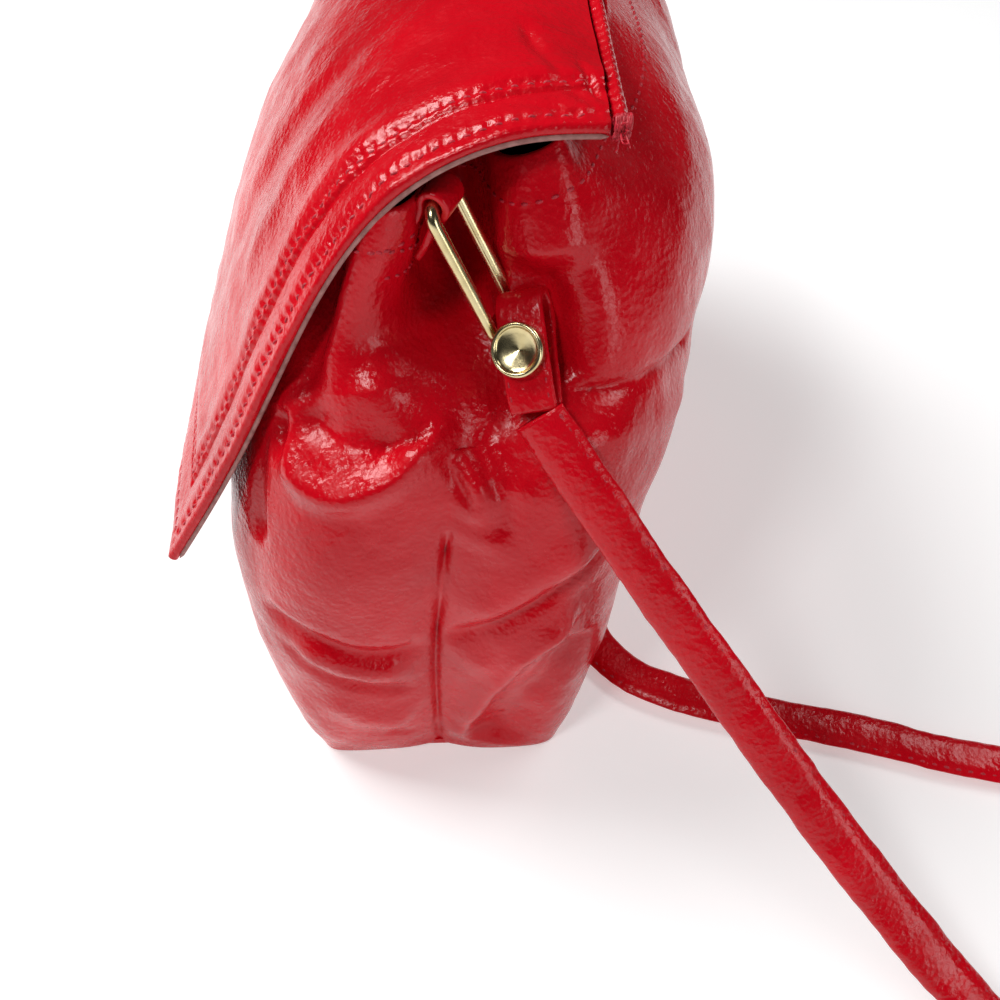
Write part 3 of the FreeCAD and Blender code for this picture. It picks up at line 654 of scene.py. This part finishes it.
STRAP_ROUTE = [
    (0.1120, 0.0246, 0.1252), (0.1865, 0.1185, 0.0034), (0.230, 0.170, 0.0034),
    (0.247, 0.220, 0.0034), (0.232, 0.264, 0.0034), (0.188, 0.284, 0.0034),
    (0.146, 0.264, 0.0034), (0.128, 0.214, 0.0034), (0.124, 0.153, 0.0034),
    (0.112, 0.120, 0.0034), (0.106, 0.095, 0.0034), (0.099, 0.071, 0.0034),
    (0.089, 0.052, 0.0034), (0.072, 0.043, 0.0034), (0.046, 0.041, 0.0034),
    (0.012, 0.046, 0.0034), (-0.034, 0.060, 0.0034), (-0.084, 0.074, 0.0034),
    (-0.122, 0.076, 0.0034), (-0.145, 0.063, 0.004), (-0.155, 0.045, 0.024),
    (-0.151, 0.033, 0.058), (-0.136, 0.0266, 0.094), (-0.1120, 0.0246, 0.1252),
]
# The strap is two pieces, which meet halfway between this point and the next.
STRAP_TURN = 7
STRAP_WIDTH, STRAP_THICK = 11.5, 3.6


def strap_routes():
    points = [Vector(point) for point in STRAP_ROUTE]
    halfway = (points[STRAP_TURN] + points[STRAP_TURN + 1]) / 2
    return [*points[:STRAP_TURN + 1], halfway], [halfway, *points[STRAP_TURN + 1:]]


def route_path(points):
    """The smooth line along a route, in millimetres, and its length in metres."""
    data = bpy.data.curves.new("route", "CURVE")
    data.dimensions = "3D"
    line = data.splines.new("NURBS")
    line.points.add(len(points) - 1)
    for place, point in zip(line.points, points):
        place.co = (*point, 1)
    line.order_u = 3
    line.use_endpoint_u = True
    line.resolution_u = 24
    holder = bpy.data.objects.new("route", data)
    show(holder)
    bpy.context.view_layer.update()
    shape = bpy.data.meshes.new_from_object(holder)
    path = np.array([v.co for v in shape.vertices], float)
    bpy.data.objects.remove(holder)
    bpy.data.meshes.remove(shape)
    keep = np.concatenate([[True], np.linalg.norm(np.diff(path, axis=0), axis=1) > 1e-6])
    path = path[keep]
    return path / MM, distances(path)[-1]


def strap_section():
    """A flattened tube with a sewn lip on its left edge: (across, out) pairs."""
    half, thick = STRAP_WIDTH / 2, STRAP_THICK / 2
    pairs = []
    for angle in np.linspace(0, 2 * math.pi, 28, endpoint=False):
        c, s = math.cos(angle), math.sin(angle)
        across = half * math.copysign(abs(c) ** 0.75, c)
        plump = 1 - 0.62 * ease(0.30, 0.62, -across / (2 * half))
        pairs.append((across, thick * s * plump))
    return np.array(pairs)


def lay_section(path, across, out, section):
    """A grid with the section's (across, out) pairs at every place of the path."""
    return (path[:, None] + across[:, None] * section[None, :, :1]
            + out[:, None] * section[None, :, 1:])


def sweep(path, faces_out, section):
    """Places of a section carried along a path, its flat side facing the way given."""
    tangent = unit(np.gradient(path, axis=0))
    out = np.asarray(faces_out, float)
    out = unit(out - np.sum(out * tangent, axis=1, keepdims=True) * tangent)
    across = np.cross(tangent, out)
    return lay_section(path, across, out, section), out, across


def close_ends(grid):
    """Faces of a swept grid, with its two ends filled by shrinking rings."""
    first = grid[0].mean(axis=0) + (grid[0] - grid[0].mean(axis=0)) * 0.02
    last = grid[-1].mean(axis=0) + (grid[-1] - grid[-1].mean(axis=0)) * 0.02
    whole = np.concatenate([first[None], grid, last[None]])
    return whole, grid_faces(len(whole), grid.shape[1], closed=True)


def faces_along(path, keys):
    """The way the strap's flat side faces at each place, from (share of length, way) keys."""
    run = distances(path)
    shares, ways = zip(*keys)
    return np.stack([
        np.interp(run / run[-1], shares, [way[k] for way in ways]) for k in range(3)
    ], axis=1)


def even_path(path, step):
    run = distances(path)
    even = np.linspace(0, run[-1], int(run[-1] / step) + 1)
    return np.stack([np.interp(even, run, path[:, k]) for k in range(3)], axis=1)


STITCH_SINK = 0.35
STUD_OUT = (0.714, -0.422, 0.559)
NEAR_FACES = [(0, STUD_OUT), (0.12, (0.60, -0.45, 0.66)), (0.3, (0.35, -0.25, 0.9)),
              (0.5, (0.1, -0.1, 1)), (0.75, (-0.1, 0, 1)), (1, (0, 0, 1))]
REAR_FACES = [(0, (0, 0, 1)), (0.12, (0.15, 0.1, 1)), (0.3, (0, -0.2, 1)), (0.5, (0, 0.3, 1)),
              (0.72, (0, 0.35, 1)), (0.8, (-0.6, 0.5, 0.6)), (0.9, (-0.9, -0.1, 0.3)),
              (1, (-STUD_OUT[0], STUD_OUT[1], STUD_OUT[2]))]


def stitches(places, outs, length, gap, radius):
    """Short thread stitches along a line of places, each a little bead half sunk in."""
    run = distances(places)
    starts = np.arange(gap, run[-1] - length, length + gap)
    parts = []
    ring = np.linspace(0, 2 * math.pi, 7)[:-1]
    for start in starts:
        at = np.linspace(start, start + length, 5)
        line = np.stack([np.interp(at, run, places[:, k]) for k in range(3)], axis=1)
        out = unit(np.stack([np.interp(at, run, outs[:, k]) for k in range(3)], axis=1))
        tangent = unit(np.gradient(line, axis=0))
        across = np.cross(tangent, out)
        fat = radius * np.array([0.25, 0.85, 1, 0.85, 0.25])
        arch = radius * np.array([-0.7, 0.1, 0.3, 0.1, -0.7]) - STITCH_SINK * radius
        centre = line + out * arch[:, None]
        grid = centre[:, None, :] + fat[:, None, None] * (
            np.cos(ring)[None, :, None] * across[:, None, :]
            + np.sin(ring)[None, :, None] * out[:, None, :]
        )
        parts.append((grid, grid_faces(5, 6, closed=True)))
    return join_parts(parts)


def make_strap(leather, thread):
    near_route, rear_route = strap_routes()
    made = {}
    for name, route, keys, seed in (
        ("near", near_route, NEAR_FACES, 11), ("rear", rear_route, REAR_FACES, 12),
    ):
        path, length = route_path(route)
        fine = even_path(path, 0.8 / FINE)
        outs = faces_along(fine, keys)
        grid, out, across = sweep(fine, outs, strap_section())
        flat = grid.reshape(-1, 3)
        away = unit(grid - fine[:, None, :]).reshape(-1, 3)
        bumps = 0.28 * noise(flat, 7, seed) + 0.14 * noise(flat, 2.6, seed + 1)
        flat = flat + away * bumps[:, None]
        flat[:, 2] = np.maximum(flat[:, 2], 0.25)
        whole, faces = close_ends(flat.reshape(grid.shape))
        strap = make_object(f"strap_{name}_leather", whole, faces, leather, "red_leather")
        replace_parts(strap, f"strap_{name}")
        line = fine - across * (STRAP_WIDTH / 2 - 1.5) + out * 0.95
        seam = make_object(f"strap_{name}_stitches",
                           *stitches(line, out, 2.3, 0.9, 0.40), thread, "red_leather")
        made[name] = (strap, seam, path, length, route)
    strap, seam, path, length, route = made["near"]
    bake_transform(strap)
    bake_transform(seam)
    strap, seam, path, length, route = made["rear"]
    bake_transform(strap)
    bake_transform(seam)


# ---------------------------------------------------------------- fittings

STUD_AT = np.array([104, 21, 136])
END_UP = np.array([-0.630, -0.130, 0.765])
RING_TOP = np.array([92, 5.8, 163])
RING_RUNS = np.array([0.10, 0.41, -0.905])
RING_ACROSS = np.array([0.921, -0.384, -0.073])
RING_LONG = 30.5
TAB_RUNS = np.array([-0.20, -0.45, -0.87])
STRIP_CORNER = 0.6
# The strap end lies a little to one side of the stud.
END_SHIFT = 0.4


def axes(across, up):
    """Rows of unit vectors: across, up as near as it can be, and out of both."""
    x = unit(across)
    z = unit(np.cross(x, up))
    return np.stack([x, np.cross(z, x), z])


def end_axes():
    up = unit(END_UP)
    out = unit(np.array(STUD_OUT) - np.dot(STUD_OUT, up) * up)
    return np.stack([np.cross(up, out), up, out])


def strip(path, across, width, thick):
    """A leather strip's grid along a path, its width along one direction at every place."""
    tangent = unit(np.gradient(path, axis=0))
    across = np.broadcast_to(unit(across), path.shape)
    across = unit(across - np.sum(across * tangent, axis=1, keepdims=True) * tangent)
    out = np.cross(across, tangent)
    half, low = width / 2, thick / 2
    corner = min(STRIP_CORNER, low * 0.95)
    section = []
    for sx, sy, start in ((1, 1, 0), (-1, 1, 90), (-1, -1, 180), (1, -1, 270)):
        for angle in (0, 30, 60, 90):
            turn = math.radians(start + angle)
            section.append((sx * (half - corner) + corner * math.cos(turn),
                            sy * (low - corner) + corner * math.sin(turn)))
        if sy == 1 and sx == 1:
            section += [(f * half, low) for f in (0.5, 0.2, -0.2, -0.5)]
        if sy == -1 and sx == -1:
            section += [(f * half, -low) for f in (-0.5, -0.2, 0.2, 0.5)]
    section = np.array(section)
    return lay_section(path, across, out, section)


def soften(grid, size, scale, seed):
    """Small lumps along each ring of a swept grid."""
    middle = grid.mean(axis=1, keepdims=True)
    away = unit(grid - middle)
    lumps = noise(grid.reshape(-1, 3), scale, seed).reshape(grid.shape[:2])
    return grid + away * (size * lumps)[..., None]


def local(frame_axes, origin, places):
    return origin + np.asarray(places, float) @ frame_axes


def side_object(name, side, parts, material, slot, body, nodes=()):
    """A piece made for the +X end, mirrored for the other, riding on its body."""
    points, faces = join_parts(parts)
    thing = make_object(f"{name}_{NAMES[side]}", points * (side, 1, 1), faces, material,
                        slot, flip=side < 0)
    if nodes:
        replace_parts(thing, *(f"{node}_{NAMES[side]}" for node in nodes))
    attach(thing, body)
    return thing


def strap_end_parts():
    """The strap end: up under the stud, over at the top and down behind, and its loop."""
    frame_axes = end_axes()
    route = [(-12.6, -1.6), (-10, -1.0), (-5, -0.8), (2, -0.8), (7, -1.0), (10.2, -2.2),
             (11.2, -4.2), (9.6, -6.2), (5, -6.4), (-2, -5.6), (-8, -4.8), (-11.6, -4.4)]
    path = through([(END_SHIFT, y, z) for y, z in route], 90)
    front = strip(path, (1, 0, 0), 10.2, 1.7)
    front = soften(front, 0.22, 4, 31)
    whole, faces = close_ends(front)
    parts = [(local(frame_axes, STUD_AT, whole.reshape(-1, 3)), faces)]
    ring_axes = axes(RING_ACROSS, -RING_RUNS)
    low_bar = RING_TOP + RING_RUNS / np.linalg.norm(RING_RUNS) * RING_LONG
    turn = np.linspace(0, 2 * math.pi, 40)
    circle = np.stack([0 * turn, 2.6 * np.cos(turn), 2.6 * np.sin(turn)], axis=1)
    loop = strip(circle, (1, 0, 0), 6.6, 1.4)
    parts.append((local(ring_axes, low_bar, loop.reshape(-1, 3)),
                  grid_faces(len(loop), loop.shape[1], closed=True)))
    return parts


def strap_end_stitches():
    frame_axes = end_axes()
    parts = []
    for x in (-3.7, 4.5):
        line = through([(x, -11.5, -0.35), (x, -5, 0.05), (x, 2, 0.05), (x, 8, -0.5)], 30)
        outs = np.tile((0.0, 0.0, 1.0), (len(line), 1))
        points, faces = stitches(line, outs, 2.0, 0.9, 0.3)
        parts.append((local(frame_axes, STUD_AT, points), faces))
    return parts


def tab_parts():
    """The tab: a loop round the ring's top bar with both tails sewn into the roll."""
    ring_axes = axes(RING_ACROSS, -RING_RUNS)
    tail = ring_axes @ unit(TAB_RUNS)
    tail = unit(np.array([0, tail[1], tail[2]]))
    beside = np.array([0, -tail[2], tail[1]])
    radius = 2.7
    start = math.radians(55)
    turn = np.linspace(start, 2 * math.pi - start, 9)
    circle = [radius * (math.cos(a) * tail + math.sin(a) * beside) for a in turn]
    route = [13 * tail + 2.4 * beside, 7 * tail + 2.3 * beside, *circle,
             6 * tail - 1.6 * beside, 12 * tail - 1.2 * beside]
    path = through(route, 80)
    band = strip(path, (1, 0, 0), 8.2, 1.6)
    band = soften(band, 0.2, 4, 41)
    whole, faces = close_ends(band)
    return [(local(ring_axes, RING_TOP, whole.reshape(-1, 3)), faces)]


def lathe(profile, count=96):
    """A turned shape from (radius, height) pairs, about the local Z axis."""
    turn = np.linspace(0, 2 * math.pi, count, endpoint=False)
    profile = np.asarray(profile, float)
    grid = np.stack([
        profile[:, :1] * np.cos(turn), profile[:, :1] * np.sin(turn),
        np.repeat(profile[:, 1:], count, axis=1),
    ], axis=-1)
    return grid, grid_faces(len(profile), count, closed=True)


STUD_PROFILE = [(0.02, 0.75), (1.1, 1.08), (2.2, 1.44), (3.3, 1.82), (4.2, 2.12), (4.42, 2.28),
                (4.55, 2.55), (4.75, 2.78), (5.0, 2.86), (5.25, 2.80), (5.46, 2.62), (5.58, 2.3),
                (5.62, 1.9), (5.5, 1.0), (5.35, 0.4), (5.3, 0.06), (4.6, 0.05), (0.02, 0.05)]


def make_stud(side, brass):
    grid, faces = lathe(STUD_PROFILE)
    points = local(end_axes(), STUD_AT, grid.reshape(-1, 3))
    side_object("stud_dish", side, [(points, faces[:, ::-1])], brass, "brass", LINKS[side],
                ["stud_cap"])


def tube(path, radius, count=8):
    """A thin round thread along a path."""
    tangent = unit(np.gradient(path, axis=0))
    aid = np.where(np.abs(tangent[:, 2:]) < 0.9, (0, 0, 1), (1, 0, 0))
    x = unit(np.cross(aid, tangent))
    y = np.cross(tangent, x)
    turn = np.linspace(0, 2 * math.pi, count, endpoint=False)
    ring = (np.cos(turn)[None, :, None] * x[:, None] + np.sin(turn)[None, :, None] * y[:, None])
    fat = radius * np.ones(len(path))
    fat[[0, -1]] *= 0.2
    grid = path[:, None] + ring * fat[:, None, None]
    return grid, grid_faces(len(path), count, closed=True)


def knot_parts():
    """The bar tack at the end of the back seam, worn into a small knot with loose ends."""
    rng = np.random.default_rng(5)
    centre = np.array([93.4, 38.9, 177.6])
    parts = []
    for k in range(9):
        height = -1.3 + 0.32 * k
        turn = np.linspace(0, 2 * math.pi, 15)
        wind = np.stack([
            centre[0] + 1.6 * np.cos(turn) + rng.normal(0, 0.12, 15),
            centre[1] + height + 0.25 * np.sin(turn),
            centre[2] - 0.2 + 2.1 * np.sin(turn) + rng.normal(0, 0.12, 15),
        ], axis=1)
        parts.append(tube(through(wind, 40), 0.34))
    for _ in range(9):
        way = unit(rng.normal(0, 1, 3) * (0.6, 0.25, 0.6) + (1.3, 0, 0.5))
        start = centre + (1.2, 0, 0) + rng.normal(0, 0.5, 3)
        bend = rng.normal(0, 1, 3) * (1.1, 0.4, 1.1)
        end = start + way * rng.uniform(2.0, 5.0)
        parts.append(tube(through([start, (start + end) / 2 + bend, end + bend * 0.6], 14), 0.17))
    return parts


def make_fittings(leather, thread, brass):
    for side in (1, -1):
        link = LINKS[side]
        side_object("strap_end_leather", side, strap_end_parts(), leather, "red_leather", link,
                    ["strap_end"])
        side_object("strap_end_stitches", side, strap_end_stitches(), thread, "red_leather", link)
        side_object("tab_leather", side, tab_parts(), leather, "red_leather", "body", ["ring_tab"])
        make_stud(side, brass)
        side_object("seam_knot", side, knot_parts(), thread, "red_leather", "body")


def make_welt(leather):
    """The seam between flap and back: a piped edge, puckered by its stitches."""
    x = np.linspace(-93, 93, int(500 * FINE))
    path = np.stack([x, 39.0 + 0 * x, 177.0 + 0 * x], axis=1)
    turn = np.linspace(0, 2 * math.pi, 20, endpoint=False)
    pucker = 0.12 * np.sin(2 * math.pi * x / 3.2) + 0.12 * noise(path, 6, 51)
    radius = 1.5 + pucker
    grid = path[:, None] + radius[:, None, None] * np.stack(
        [0 * turn, np.cos(turn), 1.35 * np.sin(turn)], axis=-1)[None]
    groove = np.exp(-((turn - 2.0) / 0.25) ** 2)
    grid = grid - 0.5 * groove[None, :, None] * unit(grid - path[:, None])
    whole, faces = close_ends(grid)
    welt = make_object("back_seam_piping", whole, faces, leather, "red_leather")
    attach(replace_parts(welt, "back_seam_welt"), "body")


# ---------------------------------------------------------------- materials

def socket_name(key):
    return key.replace("_", " ").title().replace("Ior", "IOR")


class Shader:
    """A material's node tree, with short calls to add to it."""

    def __init__(self, name):
        self.material = bpy.data.materials.new(name)
        self.material.use_nodes = True
        self.nodes = self.material.node_tree.nodes
        self.links = self.material.node_tree.links
        self.surface = self.nodes["Principled BSDF"]

    def add(self, kind, **values):
        node = self.nodes.new(kind)
        for key, value in values.items():
            if hasattr(node, key):
                setattr(node, key, value)
            else:
                node.inputs[socket_name(key)].default_value = value
        return node

    def set(self, **values):
        for key, value in values.items():
            self.surface.inputs[socket_name(key)].default_value = value

    def link(self, a, b):
        self.links.new(a, b)

    def place(self):
        return self.add("ShaderNodeTexCoord").outputs["Object"]

    def noise(self, scale, detail=3.0, roughness=0.5):
        node = self.add("ShaderNodeTexNoise", Scale=scale, Detail=detail, Roughness=roughness)
        self.link(self.place(), node.inputs["Vector"])
        return node.outputs["Fac"]

    def ramp(self, source, stops):
        node = self.nodes.new("ShaderNodeValToRGB")
        ramp = node.color_ramp
        while len(ramp.elements) < len(stops):
            ramp.elements.new(0.5)
        for element, (place, color) in zip(ramp.elements, stops):
            element.position = place
            element.color = (*color, 1) if isinstance(color, tuple) else (color, color, color, 1)
        self.link(source, node.inputs["Fac"])
        return node.outputs["Color"]

    def tone(self, scale, detail, stops):
        self.link(self.ramp(self.noise(scale, detail), stops), self.surface.inputs["Base Color"])

    def gloss(self, scale, detail, stops):
        self.link(self.ramp(self.noise(scale, detail), stops), self.surface.inputs["Roughness"])

    def bump(self, heights):
        """Bumps one after another, from (source, strength, distance in metres)."""
        last = None
        for source, strength, distance in heights:
            node = self.add("ShaderNodeBump", Strength=strength, Distance=distance)
            self.link(source, node.inputs["Height"])
            if last:
                self.link(last, node.inputs["Normal"])
            last = node.outputs["Normal"]
        self.link(last, self.surface.inputs["Normal"])


def leather_material(name):
    shader = Shader(name)
    shader.tone(26, 4, [
        (0.3, (0.46, 0.0008, 0.0065)), (0.55, (0.56, 0.0012, 0.0085)),
        (0.75, (0.64, 0.0020, 0.012)),
    ])
    shader.gloss(150, 4, [(0.35, 0.17), (0.7, 0.32)])
    shader.set(coat_weight=0.10, coat_roughness=0.08, specular_ior_level=0.26)
    cells = shader.add("ShaderNodeTexVoronoi", Scale=750.0)
    shader.link(shader.place(), cells.inputs["Vector"])
    shader.bump([
        (shader.noise(90, 5, 0.6), 0.40, 0.0016),
        (shader.noise(330, 4, 0.6), 0.45, 0.0006),
        (cells.outputs["Distance"], 0.30, 0.0004),
    ])
    return shader.material


def thread_material():
    shader = Shader("thread")
    shader.set(base_color=(0.42, 0.004, 0.014, 1), roughness=0.5)
    shader.tone(900, 2, [(0.3, (0.34, 0.002, 0.01)), (0.7, (0.55, 0.01, 0.03))])
    shader.bump([(shader.noise(2500, 2), 0.4, 0.0002)])
    return shader.material


def edge_material():
    shader = Shader("raw_edge")
    shader.tone(500, 3, [(0.3, (0.24, 0.09, 0.08)), (0.7, (0.42, 0.2, 0.18))])
    shader.set(roughness=0.6)
    shader.bump([(shader.noise(1200, 3), 0.3, 0.0002)])
    return shader.material


def cloth_material():
    shader = Shader("lining_cloth")
    shader.tone(40, 3, [(0.3, (0.020, 0.016, 0.016)), (0.7, (0.04, 0.034, 0.034))])
    shader.set(roughness=0.85, sheen_weight=0.3)
    weave = shader.add("ShaderNodeTexWave", Scale=900.0, Distortion=0.4)
    shader.link(shader.place(), weave.inputs["Vector"])
    shader.bump([(weave.outputs["Fac"], 0.4, 0.0002)])
    return shader.material


def brass_material():
    shader = Shader("pale_brass")
    shader.tone(180, 3, [(0.35, (0.60, 0.49, 0.25)), (0.7, (0.74, 0.64, 0.38))])
    shader.gloss(400, 4, [(0.3, 0.16), (0.7, 0.30)])
    shader.set(metallic=1.0)
    shader.bump([(shader.noise(900, 4), 0.12, 0.0002)])
    return shader.material


def steel_material():
    shader = Shader("snap_steel")
    shader.tone(200, 3, [(0.3, (0.45, 0.43, 0.40)), (0.7, (0.62, 0.60, 0.56))])
    shader.gloss(300, 3, [(0.3, 0.22), (0.7, 0.36)])
    shader.set(metallic=1.0)
    return shader.material


def board_material():
    shader = Shader("leatherboard")
    shader.tone(300, 4, [(0.3, (0.10, 0.065, 0.04)), (0.7, (0.2, 0.13, 0.08))])
    shader.set(roughness=0.9)
    return shader.material


def dress_node(node, material):
    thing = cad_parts[node]
    for place in thing.material_slots:
        place.material = material


# ---------------------------------------------------------------- stage

def make_light(name, place, target, size, power):
    lamp = bpy.data.lights.new(name, "AREA")
    lamp.shape = "RECTANGLE"
    lamp.size, lamp.size_y = size
    lamp.energy = power
    holder = bpy.data.objects.new(name, lamp)
    holder.location = place
    way = Vector(target) - Vector(place)
    holder.rotation_euler = way.to_track_quat("-Z", "Y").to_euler()
    show(holder)


def make_stage():
    shader = Shader("white_floor")
    shader.set(base_color=(0.72, 0.72, 0.72, 1), roughness=0.7, specular_ior_level=0.1,
               emission_color=(1, 1, 1, 1), emission_strength=0.36)
    mesh = bpy.data.meshes.new("floor")
    far = 6.0
    corners = [(-far, -far, 0), (far, -far, 0), (far, far, 0), (-far, far, 0)]
    mesh.from_pydata(corners, [], [(0, 1, 2, 3)])
    mesh.materials.append(shader.material)
    floor = bpy.data.objects.new("floor", mesh)
    floor.location.z = -0.0004
    show(floor)
    world = bpy.data.worlds.new("studio")
    bpy.context.scene.world = world
    world.use_nodes = True
    back = world.node_tree.nodes["Background"]
    back.inputs["Color"].default_value = (0.80, 0.80, 0.82, 1)
    back.inputs["Strength"].default_value = 0.04
    bag = (0.05, 0, 0.08)
    make_light("key", (-0.25, -0.75, 1.1), bag, (0.6, 0.6), 17)
    make_light("spark", (0.62, -0.45, 1.0), bag, (0.22, 0.22), 4)
    make_light("window", (1.05, 0.85, 0.4), bag, (0.4, 0.7), 3.5)
    make_light("back", (-0.3, 0.8, 1.1), bag, (0.7, 0.4), 5)
    bpy.context.scene.view_settings.view_transform = "Standard"


def main():
    make_camera()
    leather = leather_material("red_leather")
    thread = thread_material()
    cloth = cloth_material()
    brass = brass_material()
    steel = steel_material()
    board = board_material()
    make_strap(leather, thread)
    make_body(leather, cloth, thread)
    make_flap(leather, cloth, thread, edge_material())
    make_welt(leather)
    make_fittings(leather, thread, brass)
    dress_node("base_panel", leather)
    dress_node("base_board", board)
    for suffix in NAMES.values():
        for kind in ("strap_ring", "stud_screw"):
            dress_node(f"{kind}_{suffix}", brass)
    for node in ("snap_socket", "snap_socket_plate", "snap_stud", "snap_stud_plate"):
        dress_node(node, steel)
    make_stage()


main()
